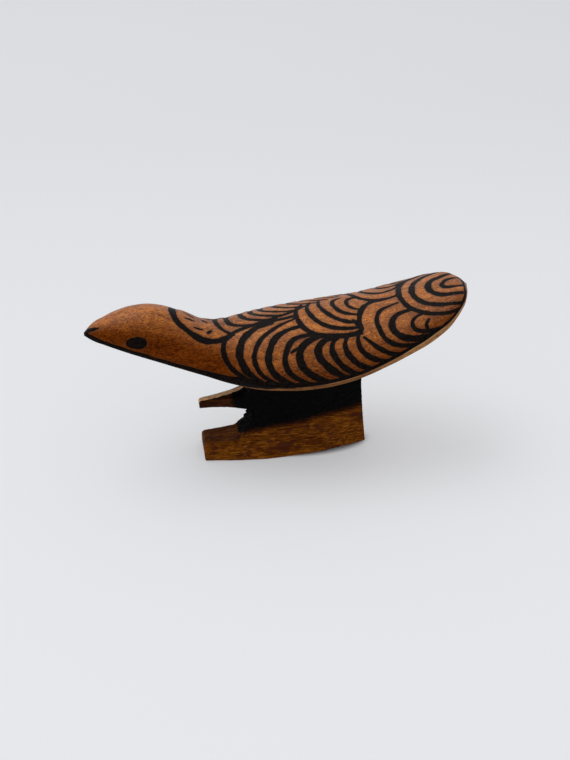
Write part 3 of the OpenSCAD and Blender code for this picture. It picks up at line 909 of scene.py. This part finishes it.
def build_pegs(mat):
    """Seam pegs trimmed flush with the belly."""
    out = []
    for i in range(1, 5):
        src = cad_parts["seam_peg_%d" % i]
        o = bpy.data.objects.new("seam_peg_%d_wood" % i, src.data.copy())
        bpy.context.scene.collection.objects.link(o)
        P = verts_of(o)
        low = bs(P[:, 0]) - bd(P[:, 0]) * np.maximum(0, 1 - (P[:, 1] / bw(P[:, 0])) ** 2) ** 0.3
        P[:, 2] = np.maximum(P[:, 2], low - 0.02)
        put_verts(o, P)
        o.data.materials.clear()
        o.data.materials.append(mat)
        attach(o, "root")
        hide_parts("seam_peg_%d" % i)
        out.append(o)
    return out


insert = mat_plain("insert_hardwood", (0.12, 0.045, 0.015), (0.22, 0.09, 0.035), (0.32, 0.15, 0.06), 8.1)
pegm = mat_plain("peg_hardwood", (0.14, 0.055, 0.018), (0.24, 0.10, 0.035), (0.33, 0.15, 0.06), 9.4)
build_pegs(pegm)
for name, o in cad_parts.items():
    m = insert if name in ("windway_block", "labium") else pegm
    if name in ("carved_back", "belly_plate", "pedestal") or name.startswith("seam_peg"):
        continue
    o.data.materials.clear()
    o.data.materials.append(m)

# ---------------------------------------------------------------- floor, light, camera
bm = bmesh.new()
bmesh.ops.create_grid(bm, x_segments=8, y_segments=8, size=4.0)
me = bpy.data.meshes.new("floor")
bm.to_mesh(me)
bm.free()
floor = bpy.data.objects.new("floor", me)
bpy.context.scene.collection.objects.link(floor)
N = Nodes("floor_painted_light")
fn = N.noise(N.coords((900, 900, 900)), 1.0, 2.0, 0.5)
fy = N.new("ShaderNodeSeparateXYZ")
N.link(N.new("ShaderNodeTexCoord").outputs["Object"], fy.inputs[0])
# painted shade: the floor colour is darker away from the camera, standing in for the light falling off towards the back
near = N.mix(fn, (0.60, 0.603, 0.608), (0.612, 0.615, 0.62))
far = N.mix(fn, (0.49, 0.493, 0.503), (0.50, 0.503, 0.513))
N.link(N.mix(N.step(fy.outputs[1], -0.25, 0.7), near, far), N.bsdf.inputs["Base Color"])
# painted light: the floor glows by its own emission, though it is no lamp
N.bsdf.inputs["Emission Color"].default_value = (0.97, 0.98, 1.0, 1)
# painted contact shadow: the glow fades out in an ellipse around the foot
ex = N.math("DIVIDE", N.math("SUBTRACT", fy.outputs[0], 0.016), 0.0315)
ey = N.math("DIVIDE", fy.outputs[1], 0.0135)
painted_shadow_radius = N.math("SQRT", N.math("ADD", N.math("MULTIPLY", ex, ex), N.math("MULTIPLY", ey, ey)))
N.link(N.step(painted_shadow_radius, 0.90, 1.18, 0.0, 0.30), N.bsdf.inputs["Emission Strength"])
N.bsdf.inputs["Roughness"].default_value = 0.85
N.bsdf.inputs["Specular IOR Level"].default_value = 0.2
floor.data.materials.append(N.m)


def area(name, loc, target, size, power, color=(1, 1, 1)):
    l = bpy.data.lights.new(name, "AREA")
    l.shape = "RECTANGLE"
    l.size, l.size_y = size
    l.energy = power
    l.color = color
    o = bpy.data.objects.new(name, l)
    bpy.context.scene.collection.objects.link(o)
    o.location = loc
    o.rotation_euler = (Vector(target) - Vector(loc)).to_track_quat("-Z", "Y").to_euler()
    return o


area("key", (-0.8, 0.45, 2.1), (0, 0, 0.04), (1.7, 1.3), 11.0)
world = bpy.data.worlds.new("soft_room")
world.use_nodes = True
world.node_tree.nodes["Background"].inputs[0].default_value = (0.95, 0.965, 1.0, 1)
world.node_tree.nodes["Background"].inputs[1].default_value = 0.70
bpy.context.scene.world = world

e, az, D = math.radians(30.0), math.radians(-9.0), 0.565
back_v = Vector((math.sin(az) * math.cos(e), -math.cos(az) * math.cos(e), math.sin(e)))
right_v = Vector((math.cos(az), math.sin(az), 0))
up_v = back_v.cross(right_v)
cam = bpy.data.cameras.new("camera")
cam.lens = 50
cam.sensor_width = 36
cam.sensor_fit = "AUTO"
cam.shift_x = 6.3 / 760
cam.shift_y = -6.4 / 760
cam.clip_start = 0.01
co = bpy.data.objects.new("camera", cam)
bpy.context.scene.collection.objects.link(co)
R = Matrix((right_v, up_v, back_v)).transposed()
co.matrix_world = Matrix.Translation(Vector((0, 0, 0.045)) + back_v * D) @ R.to_4x4()
bpy.context.scene.camera = co
bpy.context.scene.view_settings.view_transform = "Standard"
bpy.context.scene.view_settings.look = "None"

bpy.context.view_layer.update()
